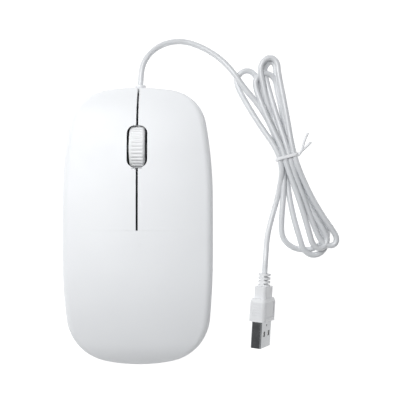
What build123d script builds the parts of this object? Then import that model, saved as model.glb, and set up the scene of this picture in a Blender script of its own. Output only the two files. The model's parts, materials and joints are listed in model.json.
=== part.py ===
from build123d import *
import os
from math import asin, cos, degrees, pi, radians, sin, tan

# A wired optical mouse, in millimetres: case, keys, wheel, board, cord, tie and plug.
# The origin is under the middle of the case, on the surface that its feet rest on.
# +Y is the front, where the cord leaves, +X is the right-hand side and +Z is up.

os.makedirs("parts", exist_ok=True)

# ---------------------------------------------------------------- driving dimensions
# Plan outline of the case: straight flanks, long side arcs, round corners, bowed ends
CASE_LENGTH = 113.0
CASE_WIDTH = 60.0
FLANK_HALF = 10.0
FRONT_SIDE_RADIUS = 180.0
FRONT_CORNER_X = 24.9
FRONT_CORNER_RADIUS = 17.0
REAR_SIDE_RADIUS = 330.0
REAR_CORNER_X = 27.6
REAR_CORNER_RADIUS = 20.0

# Crowned top: a chain of tangent arcs lengthwise, turned about an axis far below
CROWN_RADIUS = 170.0
CROWN_TOP = 23.4
CROWN_Y = 1.5
FRONT_ARCS = ((400.0, 30.0), (75.0, 13.0), (22.0, 13.0))
REAR_ARCS = ((400.0, 16.5), (120.0, 32.0), (20.0, 10.5))
TOP_EDGE_RADIUS = 3.5
WALL = 2.0

# Heights
FOOT_THICK = 0.8
FLOOR_THICK = 2.0
BASE_TOP = 9.3
COVER_BOTTOM = 9.5
KEY_BOTTOM = 10.4
BOARD_BOTTOM = 6.0
BOARD_THICK = 1.6

# Base
CASE_SCREW_Y = -40.0
BASE_FOOT_INSET = 2.4
BASE_TOP_INSET = 0.15
BASE_EDGE_RADIUS = 1.6

# Keys, the slit between them and the wheel's slot
KEY_REAR_Y = -1.3
KEY_GAP = 0.2
SLIT_WIDTH = 0.85
SLOT_WIDTH = 8.15
SLOT_REAR_Y = 23.4
SLOT_FRONT_Y = 40.25
SLOT_CORNER = 3.3

# Wheel and its cradle
WHEEL_Y = 31.4
WHEEL_Z = 14.8
WHEEL_RADIUS = 9.45
WHEEL_WIDTH = 6.3
TYRE_THICK = 1.85
RIB_COUNT = 40
AXLE_RADIUS = 1.5
CRADLE_INNER = 5.2
CRADLE_OUTER = 6.8
CRADLE_TRAVEL = 0.5
SPRING_Y = 19.0

# Micro switches under the keys
SWITCH_X = 17.0
SWITCH_Y = 37.0
SWITCH_SIZE = (5.8, 12.8, 6.5)
PLUNGER_Y = 39.0
PLUNGER_SIZE = (2.8, 1.4, 1.5)
PLUNGER_RISE = 0.7
POST_GAP = 0.05

# Optical sensor
SENSOR_Y = -4.0
LED_Z = 10.6
LED_RADIUS = 2.5

# Cord, hank, tie and plug
CORD_DIAMETER = 2.4
CORD_Z = 6.0
GROMMET_END_Y = 58.0
CORD_INNER_Y = 49.6
HANK_HEIGHT = 6.4
PLUG_ROLL = 65.0
PLUG_HEIGHT = 7.1
PLUG_ENTRY = (51.45, -19.6)
PLUG_HEADING = (-0.06, -1.0)

# ---------------------------------------------------------------- derived dimensions
HALF_LENGTH = CASE_LENGTH / 2
HALF_WIDTH = CASE_WIDTH / 2
CROWN_AXIS_Z = CROWN_TOP - CROWN_RADIUS
FLOOR_TOP = FOOT_THICK + FLOOR_THICK
BOARD_TOP = BOARD_BOTTOM + BOARD_THICK
SWITCH_TOP = BOARD_TOP + SWITCH_SIZE[2]
PLUNGER_TOP = SWITCH_TOP + PLUNGER_RISE


def save(part, name):
    """Label a finished piece and write its STEP file."""
    part.label = name
    export_step(part, f"parts/{name}.step")


def spans(low, high):
    """Size and centre of a stretch from low to high."""
    return high - low, (low + high) / 2


def block(x, y, z, mode=Mode.ADD):
    """Box between two coordinates on each axis, in the part being built."""
    dx, cx = spans(*x)
    dy, cy = spans(*y)
    dz, cz = spans(*z)
    with Locations((cx, cy, cz)):
        Box(dx, dy, dz, mode=mode)


def disc(x, y, z, radius, mode=Mode.ADD):
    """Upright cylinder at (x, y) between two heights, in the part being built."""
    dz, cz = spans(*z)
    with Locations((x, y, cz)):
        Cylinder(radius, dz, mode=mode)


# ---------------------------------------------------------------- case surfaces
def turn_of_drop(drop, radius):
    """Angle through which an arc of this radius turns while it drops sideways by drop."""
    reach = (radius ** 2 - (radius - drop) ** 2) ** 0.5
    return asin(reach / radius)


def plan_outline(inset=0.0):
    """Plan outline of the case, pulled in by inset."""
    with BuildSketch() as plan:
        with BuildLine():
            front_turn = degrees(turn_of_drop(HALF_WIDTH - FRONT_CORNER_X, FRONT_SIDE_RADIUS))
            rear_turn = degrees(turn_of_drop(HALF_WIDTH - REAR_CORNER_X, REAR_SIDE_RADIUS))
            flank = Line((HALF_WIDTH, -FLANK_HALF), (HALF_WIDTH, FLANK_HALF))
            ahead = JernArc(flank @ 1, (0, 1), FRONT_SIDE_RADIUS, front_turn)
            behind = JernArc(flank @ 0, (0, -1), REAR_SIDE_RADIUS, -rear_turn)
            mirror(about=Plane.YZ)
            front = ahead @ 1
            rear = behind @ 1
            ThreePointArc((-front.X, front.Y), (0, HALF_LENGTH), (front.X, front.Y))
            ThreePointArc((-rear.X, rear.Y), (0, -HALF_LENGTH), (rear.X, rear.Y))
        make_face()
        if inset:
            offset(amount=-inset, kind=Kind.INTERSECTION)
        fillet(plan.vertices().group_by(Axis.Y)[-1], FRONT_CORNER_RADIUS - inset)
        fillet(plan.vertices().group_by(Axis.Y)[0], REAR_CORNER_RADIUS - inset)
    return plan.sketch


def arc_chain(arcs, start, heading, shrink):
    """Tangent arcs from the highest point, each given by radius and length along the case."""
    slope = 0.0
    point = start
    tangent = heading
    for radius, length in arcs:
        steeper = slope + length / radius
        turn = degrees(asin(steeper) - asin(slope))
        arc = JernArc(point, tangent, radius - shrink, -heading[0] * turn)
        point = arc @ 1
        tangent = arc % 1
        slope = steeper
    return point


def case_form(inset=0.0, low=3.0):
    """Solid body of the case, from height low up to its crowned top, pulled in by inset."""
    half_turn = 14.0
    start_plane = Plane(
        origin=(0, 0, CROWN_AXIS_Z),
        x_dir=(0, 1, 0),
        z_dir=(cos(radians(half_turn)), 0, sin(radians(half_turn))),
    )
    crown = CROWN_RADIUS - inset
    root = CROWN_RADIUS - CROWN_TOP - 5.0
    with BuildPart() as form:
        with BuildSketch(Plane.XY.offset(low)):
            add(plan_outline(inset))
        extrude(amount=CROWN_TOP + 5.0 - low)
        with BuildSketch(start_plane):
            with BuildLine():
                front = arc_chain(FRONT_ARCS, (CROWN_Y, crown), (1, 0), inset)
                rear = arc_chain(REAR_ARCS, (CROWN_Y, crown), (-1, 0), inset)
                Polyline(front, (front.X, root), (rear.X, root), rear)
            make_face()
        revolve(axis=Axis((0, 0, CROWN_AXIS_Z), (0, 1, 0)), revolution_arc=2 * half_turn,
                mode=Mode.INTERSECT)
        sides = form.faces().filter_by(lambda face: abs(face.normal_at().Z) < 0.01)
        rim = sides.edges().filter_by(lambda edge: edge.bounding_box().min.Z > low + 1.0)
        fillet(rim, TOP_EDGE_RADIUS - min(inset, WALL))
    return form.part


# ---------------------------------------------------------------- case
def cover_shell(low):
    """Wall of the whole top moulding, open below, cut off at height low."""
    with BuildPart() as shell:
        add(case_form())
        add(case_form(WALL, 2.0), mode=Mode.SUBTRACT)
        block((-40, 40), (-60, 60), (-5, low), Mode.SUBTRACT)
    return shell.part


def hanging_post(x, y, radius, low):
    """Round post that hangs from inside the top moulding down to height low."""
    with BuildPart() as post:
        disc(x, y, (low, CROWN_TOP), radius)
        add(case_form(WALL / 2), mode=Mode.INTERSECT)
    return post.part


def make_top_cover():
    with BuildPart() as lip:
        with BuildSketch(Plane.XY.offset(COVER_BOTTOM)):
            add(plan_outline(WALL - 0.1))
            add(plan_outline(3.9), mode=Mode.SUBTRACT)
        extrude(amount=2.0)
        with BuildSketch(Plane.XY.offset(7.8)):
            add(plan_outline(2.9))
            add(plan_outline(3.9), mode=Mode.SUBTRACT)
        extrude(amount=COVER_BOTTOM - 7.8)
        block((-40, 40), (-6, 60), (0, 20), Mode.SUBTRACT)
    with BuildPart() as top_cover:
        add(cover_shell(COVER_BOTTOM))
        block((-40, 40), (KEY_REAR_Y - KEY_GAP, 60), (0, 30), Mode.SUBTRACT)
        add(lip.part)
        add(hanging_post(0, CASE_SCREW_Y, 3.5, BOARD_BOTTOM + 0.2))
        disc(0, CASE_SCREW_Y, (0, 15.0), 1.35, Mode.SUBTRACT)
    save(top_cover.part, "top_cover")


def make_key(name, side):
    """One key: the front of the top moulding on one side of the slit, with its press post."""
    near = SLIT_WIDTH / 2
    slot_length, slot_y = spans(SLOT_REAR_Y, SLOT_FRONT_Y)
    post_x = side * SWITCH_X
    with BuildPart() as key:
        add(cover_shell(KEY_BOTTOM))
        add(hanging_post(post_x, PLUNGER_Y, 1.4, PLUNGER_TOP + POST_GAP))
        block((-40, 40), (-60, KEY_REAR_Y), (0, 30), Mode.SUBTRACT)
        block(sorted((side * near, -side * 40)), (-60, 60), (0, 30), Mode.SUBTRACT)
        with BuildSketch(Plane.XY.offset(KEY_BOTTOM)):
            with Locations((0, slot_y)):
                RectangleRounded(SLOT_WIDTH, slot_length, SLOT_CORNER)
        extrude(amount=20, mode=Mode.SUBTRACT)
        wheel_disc(WHEEL_RADIUS + CRADLE_TRAVEL + 0.2, WHEEL_WIDTH + 1.4, Mode.SUBTRACT)
    save(key.part, name)


def base_body(low_inset, top_inset, low):
    """Tapered tub between height low and the base's top edge."""
    with BuildPart() as tub:
        with BuildSketch(Plane.XY.offset(low)):
            add(plan_outline(low_inset))
        with BuildSketch(Plane.XY.offset(BASE_TOP)):
            add(plan_outline(top_inset))
        loft()
    return tub.part


def make_bottom_case():
    with BuildPart() as bottom_case:
        add(base_body(BASE_FOOT_INSET, BASE_TOP_INSET, FOOT_THICK))
        fillet(bottom_case.faces().sort_by(Axis.Z)[0].edges(), BASE_EDGE_RADIUS)
        add(base_body(BASE_FOOT_INSET + WALL - 0.4, BASE_TOP_INSET + WALL, FLOOR_TOP),
            mode=Mode.SUBTRACT)
        for x, y in BOARD_POSTS:
            disc(x, y, (FLOOR_TOP - 0.2, BOARD_BOTTOM), 2.6)
        disc(0, CASE_SCREW_Y, (FOOT_THICK, BOARD_BOTTOM), 4.2)
        disc(0, CASE_SCREW_Y, (0, BOARD_BOTTOM), 1.5, Mode.SUBTRACT)
        disc(0, CASE_SCREW_Y, (0, 3.2), 3.0, Mode.SUBTRACT)
        for x, y in BOARD_SCREWS:
            disc(x, y, (3.0, BOARD_BOTTOM), 1.0, Mode.SUBTRACT)
        for side in (-1, 1):
            block(sorted((side * 7.05, side * 8.6)), (28.0, 35.5), (FLOOR_TOP - 0.2, 18.0))
        block((-4.5, 4.5), (SENSOR_Y - 7, SENSOR_Y + 7), (0, FLOOR_TOP), Mode.SUBTRACT)
        block((-13.2, 13.2), (-31.2, -16.8), (0, FOOT_THICK + 0.3), Mode.SUBTRACT)
        with BuildSketch(Plane.XZ.offset(-HALF_LENGTH - 1)):
            with Locations((0, CORD_Z)):
                Circle(2.3)
        extrude(amount=8, mode=Mode.SUBTRACT)
    save(bottom_case.part, "bottom_case")


def make_foot(name, y, sweep):
    """Glide pad with round ends, bowed to follow the end of the case."""
    with BuildPart() as foot:
        with BuildSketch():
            with BuildLine(mode=Mode.PRIVATE):
                bow = ThreePointArc((-14, y - sweep), (0, y), (14, y - sweep))
            SlotArc(bow, 5.2)
        extrude(amount=FOOT_THICK)
        fillet(foot.faces().sort_by(Axis.Z)[0].edges(), 0.3)
    save(foot.part, name)


def make_blank_label():
    with BuildPart() as blank_label:
        with BuildSketch(Plane.XY.offset(FOOT_THICK + 0.12)):
            with Locations((0, -24.0)):
                RectangleRounded(26.0, 14.0, 1.0)
        extrude(amount=0.18)
    save(blank_label.part, "blank_label")


def screw(x, y, head_z, shank_end_z, head_radius, shank_radius, upwards):
    """Pan-head screw with a cross recess; its head's seat is at head_z."""
    way = 1 if upwards else -1
    head_end = head_z - way * head_radius * 0.65
    recess = (head_end - way * 0.1, head_end + way * head_radius * 0.35)
    with BuildPart() as body:
        disc(x, y, sorted((head_z, head_end)), head_radius)
        disc(x, y, sorted((head_z, shank_end_z)), shank_radius)
        fillet(body.faces().sort_by(Axis.Z)[0 if upwards else -1].edges(), head_radius * 0.25)
        for across, along in ((0.6, 0.14), (0.14, 0.6)):
            block((x - head_radius * across, x + head_radius * across),
                  (y - head_radius * along, y + head_radius * along),
                  sorted(recess), Mode.SUBTRACT)
    return body.part


def make_screws():
    save(screw(0, CASE_SCREW_Y, 3.2, 14.0, 2.7, 1.3, True), "case_screw")
    pair = [screw(x, y, BOARD_TOP, 3.4, 1.9, 0.95, False) for x, y in BOARD_SCREWS]
    save(Compound(children=pair), "board_screws")


def make_cord_grommet():
    """Rubber strain relief: inner flange, neck through the wall and a ribbed outer collar."""
    stages = ((50.4, 52.0, 2.9), (52.0, 56.0, 2.25), (56.0, 56.7, 2.6),
              (56.7, 57.1, 2.1), (57.1, GROMMET_END_Y, 2.4))
    with BuildPart() as cord_grommet:
        for start, end, radius in stages:
            length, middle = spans(start, end)
            with Locations((0, middle, CORD_Z)):
                Cylinder(radius, length, rotation=(90, 0, 0))
        with Locations((0, HALF_LENGTH, CORD_Z)):
            Cylinder(CORD_DIAMETER / 2 + 0.02, 20, rotation=(90, 0, 0), mode=Mode.SUBTRACT)
    save(cord_grommet.part, "cord_grommet")


# ---------------------------------------------------------------- wheel
def wheel_disc(radius, width, mode=Mode.ADD):
    """Cylinder on the wheel's axis."""
    with Locations((0, WHEEL_Y, WHEEL_Z)):
        Cylinder(radius, width, rotation=(0, 90, 0), mode=mode)


def make_wheel():
    rim_radius = WHEEL_RADIUS - TYRE_THICK
    side_view = Plane(origin=(0, WHEEL_Y, WHEEL_Z), x_dir=(0, 1, 0), z_dir=(1, 0, 0))
    with BuildPart() as wheel_tyre:
        wheel_disc(WHEEL_RADIUS, WHEEL_WIDTH)
        fillet(wheel_tyre.edges().filter_by(GeomType.CIRCLE), 0.5)
        wheel_disc(rim_radius, WHEEL_WIDTH, Mode.SUBTRACT)
        with BuildSketch(side_view):
            with PolarLocations(WHEEL_RADIUS, RIB_COUNT):
                Rectangle(0.8, 0.7)
        extrude(amount=2.3, both=True, mode=Mode.SUBTRACT)
    save(wheel_tyre.part, "wheel_tyre")
    with BuildPart() as wheel_hub:
        wheel_disc(rim_radius - 0.02, WHEEL_WIDTH)
        wheel_disc(2.1, WHEEL_WIDTH + 1.6)
        with BuildSketch(side_view):
            with PolarLocations(6.2, 16):
                Rectangle(2.0, 1.2)
        extrude(amount=WHEEL_WIDTH, both=True, mode=Mode.SUBTRACT)
        wheel_disc(AXLE_RADIUS + 0.01, WHEEL_WIDTH + 2, Mode.SUBTRACT)
    save(wheel_hub.part, "wheel_hub")
    with BuildPart() as wheel_axle:
        wheel_disc(AXLE_RADIUS, 2 * CRADLE_OUTER)
        chamfer(wheel_axle.edges().filter_by(GeomType.CIRCLE), 0.2)
    save(wheel_axle.part, "wheel_axle")


def make_wheel_cradle():
    """U-shaped frame: two arms beside the wheel, a cross-bar over the spring, a switch tab."""
    rear_y = SPRING_Y - 2.8
    bar_front_y = 20.5
    with BuildPart() as wheel_cradle:
        for side in (-1, 1):
            block(sorted((side * CRADLE_INNER, side * CRADLE_OUTER)), (rear_y, 35.0), (9.0, 17.5))
        fillet(wheel_cradle.edges().filter_by(Axis.X).group_by(Axis.Y)[-1], 2.0)
        block((-CRADLE_OUTER, CRADLE_OUTER), (rear_y, bar_front_y), (11.8, 15.2))
        block((CRADLE_OUTER - 0.2, 13.0), (20.5, 23.5), (12.45, 14.4))
        disc(0, SPRING_Y - 0.2, (11.0, 13.4), 2.4, Mode.SUBTRACT)
        wheel_disc(AXLE_RADIUS + 0.05, 20, Mode.SUBTRACT)
    save(wheel_cradle.part, "wheel_cradle")


def make_cradle_spring():
    wire = 0.25
    height = 13.4 - BOARD_TOP - 2 * wire
    with BuildPart() as cradle_spring:
        with BuildLine(Plane.XY.offset(BOARD_TOP + wire)):
            with Locations((0, 0)):
                coil = Helix(pitch=height / 5, height=height, radius=1.8,
                             center=(0, SPRING_Y - 0.2, 0))
        with BuildSketch(Plane(origin=coil @ 0, z_dir=coil % 0)):
            Circle(wire)
        sweep(is_frenet=True)
    save(cradle_spring.part, "cradle_spring")


# ---------------------------------------------------------------- board
BOARD_SCREWS = ((-18.0, -14.0), (18.0, -14.0))
BOARD_POSTS = BOARD_SCREWS + ((-18.0, 24.0), (18.0, 24.0), (-9.5, 42.0), (9.5, 42.0))
LED_PINS = ((-1.27, -20.6), (1.27, -20.6))


def make_circuit_board():
    with BuildPart() as circuit_board:
        with BuildSketch(Plane.XY.offset(BOARD_BOTTOM)):
            with Locations((0, 11.0)):
                Rectangle(42.0, 66.0)
            with Locations((0, 31.8)):
                Rectangle(7.8, 17.6, mode=Mode.SUBTRACT)
            with Locations((-7.85, 31.75), (7.85, 31.75)):
                Rectangle(2.1, 8.5, mode=Mode.SUBTRACT)
            with Locations((0, SENSOR_Y)):
                Rectangle(7.0, 9.0, mode=Mode.SUBTRACT)
            with Locations(*BOARD_SCREWS):
                Circle(1.2, mode=Mode.SUBTRACT)
            with Locations(*LED_PINS):
                Circle(0.5, mode=Mode.SUBTRACT)
        extrude(amount=BOARD_THICK)
        chamfer(circuit_board.edges().filter_by(Axis.Z).group_by(Axis.Y)[-1], 5.0)
        fillet(circuit_board.edges().filter_by(Axis.Z).group_by(Axis.Y)[0], 2.0)
    save(circuit_board.part, "circuit_board")


def make_switch(side_name, x, y, size, plunger_y, plunger_size, rise):
    """Switch body with a well, and the plunger that stands out of it by rise."""
    width, length, height = size
    across, along, tall = plunger_size
    top = BOARD_TOP + height
    with BuildPart() as body:
        block((x - width / 2, x + width / 2), (y - length / 2, y + length / 2), (BOARD_TOP, top))
        fillet(body.edges().filter_by(Axis.Z), 0.4)
        block((x - width / 2 - 1, x + width / 2 + 1), (y - length / 2 - 1, y + length / 2 + 1),
              (top - height * 0.42, top - height * 0.42 + 0.15), Mode.SUBTRACT)
        block((x - width / 2 + 0.2, x + width / 2 - 0.2),
              (y - length / 2 + 0.2, y + length / 2 - 0.2), (top - height * 0.6, top - 1.0))
        block((x - across / 2 - 0.1, x + across / 2 + 0.1),
              (plunger_y - along / 2 - 0.1, plunger_y + along / 2 + 0.1),
              (top + rise - tall - 0.7, top + 1), Mode.SUBTRACT)
    save(body.part, f"{side_name}_switch_body")
    with BuildPart() as plunger:
        block((x - across / 2, x + across / 2),
              (plunger_y - along / 2, plunger_y + along / 2), (top + rise - tall, top + rise))
        fillet(plunger.edges().group_by(Axis.Z)[-1], 0.25)
    save(plunger.part, f"{side_name}_switch_plunger")


def make_switches():
    for side_name, side in (("left", -1), ("right", 1)):
        make_switch(side_name, side * SWITCH_X, SWITCH_Y, SWITCH_SIZE, PLUNGER_Y,
                    PLUNGER_SIZE, PLUNGER_RISE)
    make_switch("middle", 11.5, 22.0, (6.0, 6.0, 3.9), 22.0, (2.6, 2.6, 1.6), 0.8)


def make_sensor_parts():
    with BuildPart() as sensor_chip:
        block((-4.9, 4.9), (SENSOR_Y - 6.2, SENSOR_Y + 6.2), (BOARD_TOP, BOARD_TOP + 3.2))
        chamfer(sensor_chip.edges().group_by(Axis.Z)[-1], 0.5)
        for row in range(8):
            for side in (-1, 1):
                y = SENSOR_Y + (row - 3.5) * 1.4
                block(sorted((side * 4.8, side * 6.0)), (y - 0.25, y + 0.25),
                      (BOARD_TOP, BOARD_TOP + 1.6))
    save(sensor_chip.part, "sensor_chip")
    with BuildPart() as sensor_lens:
        block((-7.0, 7.0), (SENSOR_Y - 9, SENSOR_Y + 9), (4.0, 5.6))
        fillet(sensor_lens.edges().filter_by(Axis.Z), 1.5)
        block((-4.2, 4.2), (SENSOR_Y - 6.7, SENSOR_Y + 6.7), (2.2, 4.2))
        with Locations((0, SENSOR_Y + 1, 2.2)):
            Cone(2.2, 2.8, 0.8, align=(Align.CENTER, Align.CENTER, Align.MAX))
    save(sensor_lens.part, "sensor_lens")
    with BuildPart() as illumination_led:
        with Locations((0, -16.5, LED_Z)):
            Cylinder(LED_RADIUS, 7.0, rotation=(90, 0, 0))
        with Locations((0, -13.0, LED_Z)):
            Sphere(LED_RADIUS)
        with Locations((0, -20.2, LED_Z)):
            Cylinder(LED_RADIUS + 0.35, 0.9, rotation=(90, 0, 0))
        for x, y in LED_PINS:
            block((x - 0.25, x + 0.25), (y - 0.25, y + 0.25), (5.2, LED_Z))
    save(illumination_led.part, "illumination_led")
    with BuildPart() as led_clip:
        block((-4.2, 4.2), (-19.6, -11.0), (BOARD_TOP, 14.6))
        chamfer(led_clip.edges().group_by(Axis.Z)[-1], 0.8)
        with Locations((0, -15.0, LED_Z)):
            Cylinder(LED_RADIUS + 0.05, 12.0, rotation=(90, 0, 0), mode=Mode.SUBTRACT)
    save(led_clip.part, "led_clip")


def make_encoder():
    """Light source and receiver, one on each side of the wheel's windows."""
    for name, side in (("encoder_emitter", -1), ("encoder_detector", 1)):
        with BuildPart() as unit:
            block(sorted((side * 4.5, side * 6.9)), (36.4, 40.4), (BOARD_TOP, 17.0))
            chamfer(unit.edges().group_by(Axis.Z)[-1], 0.4)
            with Locations((side * 4.5, 37.7, WHEEL_Z)):
                Sphere(0.8)
        save(unit.part, name)


def make_board_components():
    with BuildPart() as controller_chip:
        block((-14.0, -8.0), (-6.0, 7.0), (BOARD_TOP + 0.2, BOARD_TOP + 2.2))
        chamfer(controller_chip.edges().group_by(Axis.Z)[-1], 0.3)
        for row in range(10):
            for x in ((-15.4, -13.9), (-8.1, -6.6)):
                y = 0.5 + (row - 4.5) * 1.27
                block(x, (y - 0.2, y + 0.2), (BOARD_TOP, BOARD_TOP + 1.0))
    save(controller_chip.part, "controller_chip")
    with BuildPart() as capacitor:
        disc(13.0, 8.0, (BOARD_TOP, BOARD_TOP + 7.0), 2.5)
        fillet(capacitor.edges().filter_by(GeomType.CIRCLE), 0.4)
        with Locations((13.0, 8.0, BOARD_TOP + 1.3)):
            Torus(2.75, 0.35, mode=Mode.SUBTRACT)
    save(capacitor.part, "capacitor")
    resistors = []
    for x, y in ((8.5, -2.0), (8.5, 0.5), (8.5, 3.0), (11.5, -8.0), (14.0, -8.0),
                 (-4.0, 8.0), (-1.5, 8.0), (1.0, 8.0), (16.0, 14.0), (16.0, 17.0)):
        with BuildPart() as resistor:
            block((x - 0.6, x + 0.6), (y - 0.9, y + 0.9), (BOARD_TOP, BOARD_TOP + 0.5))
            chamfer(resistor.edges().group_by(Axis.Z)[-1], 0.08)
        resistors.append(resistor.part)
    save(Compound(children=resistors), "chip_resistors")


def make_wiring():
    """Board header, the plug in it, and four wires from the plug to the cord's inner end."""
    plug_front_y = 22.5
    wire_z = 9.9
    wire_radius = 0.33
    with BuildPart() as wire_header:
        block((-17.0, -7.4), (15.0, 20.5), (BOARD_TOP, 12.2))
        block((-16.5, -7.9), (16.4, 21.0), (8.1, 11.7), Mode.SUBTRACT)
        fillet(wire_header.edges().filter_by(Axis.Z).group_by(Axis.Y)[0], 0.4)
    save(wire_header.part, "wire_header")
    with BuildPart() as wire_plug:
        block((-16.3, -8.1), (16.6, plug_front_y), (8.3, 11.5))
        chamfer(wire_plug.edges().group_by(Axis.Y)[-1], 0.3)
    save(wire_plug.part, "wire_plug")
    wires = []
    ends = ((-0.5, 0.5), (-0.5, -0.5), (0.5, 0.5), (0.5, -0.5))
    for number, (dx, dz) in enumerate(ends):
        plug_x = -15.2 + 2.0 * number
        lane_x = -12.5 + number
        with BuildPart() as wire:
            with BuildLine():
                route = FilletPolyline((plug_x, plug_front_y, wire_z), (plug_x, 24.5, wire_z),
                                       (lane_x, 28.0, wire_z), (lane_x, 42.6, wire_z),
                                       (dx, 48.0, CORD_Z + dz),
                                       (dx, CORD_INNER_Y, CORD_Z + dz), radius=1.5)
            with BuildSketch(Plane(origin=route @ 0, z_dir=route % 0)):
                Circle(wire_radius)
            sweep()
        wires.append(wire.part)
    save(Compound(children=wires), "inner_wires")


# ---------------------------------------------------------------- cord
# The cord's tube, first out of the case and then from the hank to the plug. Each list is the
# route's corners; the arcs at them are as large as their runs allow.
LEAD_ROUTE = (
    (0.0, CORD_INNER_Y, CORD_Z), (0.0, 61.5, CORD_Z), (1.6, 69.2, 4.8), (7.6, 75.6, 2.6),
    (16.8, 77.9, 1.5), (26.0, 74.9, 1.5), (34.0, 69.6, 2.2), (39.3, 63.3, 3.4),
    (42.8, 58.0, 3.6),
)
TAIL_ROUTE = (
    (58.4, 18.0, 3.2), (57.2, 11.2, 1.8), (55.0, 3.6, 1.3), (52.8, -4.4, 3.2),
    (51.87, -12.6, PLUG_HEIGHT), (PLUG_ENTRY[0], PLUG_ENTRY[1], PLUG_HEIGHT),
)


def route_radii(points):
    """Arc radius at each corner: 0.45 of the shorter run over the tangent of half the turn."""
    radii = []
    vectors = [Vector(*point) for point in points]
    for before, corner, after in zip(vectors, vectors[1:], vectors[2:]):
        run_in = corner - before
        run_out = after - corner
        half_turn = radians(run_in.get_angle(run_out) / 2)
        radii.append(0.45 * min(run_in.length, run_out.length) / tan(half_turn))
    return radii


def make_cord_tube(name, points):
    radii = route_radii(points)
    with BuildPart() as tube:
        with BuildLine():
            route = FilletPolyline(*points, radius=radii)
        with BuildSketch(Plane(origin=route @ 0, z_dir=route % 0)):
            Circle(CORD_DIAMETER / 2)
        sweep()
    expected = pi * CORD_DIAMETER ** 2 / 4 * route.length
    print(name, "radii", [round(radius, 1) for radius in radii],
          "length", round(route.length, 1), "volume ratio",
          round(tube.part.volume / expected, 4))
    save(tube.part, name)


# Outline of the hank seen from above, anticlockwise from the left of its upper loops
HANK_OUTLINE = (
    (39.8, 60.5), (42.8, 52.0), (49.0, 41.5), (54.2, 33.0), (55.9, 27.0), (56.6, 18.0),
    (57.2, 5.0), (58.4, -4.0), (64.0, -11.0), (71.0, -14.4), (78.4, -11.4), (82.4, -6.4),
    (80.6, 0.6), (74.2, 9.4), (69.4, 18.0), (66.6, 27.0), (64.6, 35.0), (62.6, 44.0),
    (60.4, 57.0), (59.6, 66.0), (57.2, 73.4), (52.6, 73.6), (49.6, 66.4), (44.6, 67.2),
)
TIE_CENTRE = (60.9, 28.6)
TIE_TURN = 15.0
TIE_INNER = (8.6, 5.4)
TIE_BAND = (0.45, 1.7)


def tie_plane(along=0.0):
    """Plane across the bundle at the tie: local x runs across it and local y runs up."""
    turn = radians(TIE_TURN)
    across = Vector(cos(turn), sin(turn), 0)
    forward = Vector(sin(turn), -cos(turn), 0)
    return Plane(origin=Vector(*TIE_CENTRE, 0) + forward * along, x_dir=across, z_dir=forward)


def make_cord_hank():
    """The folded cord as one closed solid of its outer shape, waisted where it is tied."""
    width = TIE_BAND[1]
    with BuildPart() as waist:
        with BuildSketch(tie_plane(-width / 2 - 0.2)):
            with Locations((0, HANK_HEIGHT / 2)):
                Rectangle(20, 12)
                RectangleRounded(TIE_INNER[0] - 0.2, TIE_INNER[1] - 0.2, 0.8,
                                 mode=Mode.SUBTRACT)
        extrude(amount=width + 0.4)
    with BuildPart() as cord_hank:
        with BuildSketch() as footprint:
            with BuildLine():
                Polyline(*HANK_OUTLINE, close=True)
            make_face()
            fillet(footprint.vertices(), 1.5)
        extrude(amount=HANK_HEIGHT)
        chamfer(cord_hank.edges().group_by(Axis.Z)[-1], 1.4)
        add(waist.part, mode=Mode.SUBTRACT)
    save(cord_hank.part, "cord_hank")


TIE_TAILS = (
    ((65.5, 29.8, 4.2), (67.6, 30.7, 4.6), (69.2, 32.6, 4.8), (71.4, 34.8, 4.4)),
    ((65.5, 29.8, 3.2), (67.6, 31.4, 3.0), (68.6, 34.6, 3.4), (69.9, 38.6, 4.2)),
)


def make_twist_tie():
    """Band round the bundle and the two free ends of its wire."""
    thick, width = TIE_BAND
    with BuildPart() as twist_tie:
        with BuildSketch(tie_plane(-width / 2)):
            with Locations((0, HANK_HEIGHT / 2)):
                RectangleRounded(TIE_INNER[0] + 2 * thick, TIE_INNER[1] + 2 * thick, 1.2)
                RectangleRounded(*TIE_INNER, 0.8, mode=Mode.SUBTRACT)
        extrude(amount=width)
        for points in TIE_TAILS:
            with BuildLine():
                route = FilletPolyline(*points, radius=1.5)
            with BuildSketch(Plane(origin=route @ 0, z_dir=route % 0)):
                Circle(0.3)
            sweep()
    save(twist_tie.part, "twist_tie")


# ---------------------------------------------------------------- plug
def plug_plane(along=0.0):
    """Plane across the plug: local x runs along its wide faces, z towards its open end."""
    heading = Vector(*PLUG_HEADING, 0).normalized()
    side = Vector(-heading.Y, heading.X, 0)
    roll = radians(PLUG_ROLL)
    wide = side * -cos(roll) + Vector(0, 0, sin(roll))
    origin = Vector(*PLUG_ENTRY, PLUG_HEIGHT) + heading * along
    return Plane(origin=origin, x_dir=wide, z_dir=heading)


SHELL_START = 19.3
SHELL_LENGTH = 10.8
SHELL_SIZE = (12.0, 4.5)
SHELL_WALL = 0.35
SHELL_CORNER = 0.85
TONGUE_SIZE = (10.2, 1.9)


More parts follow.
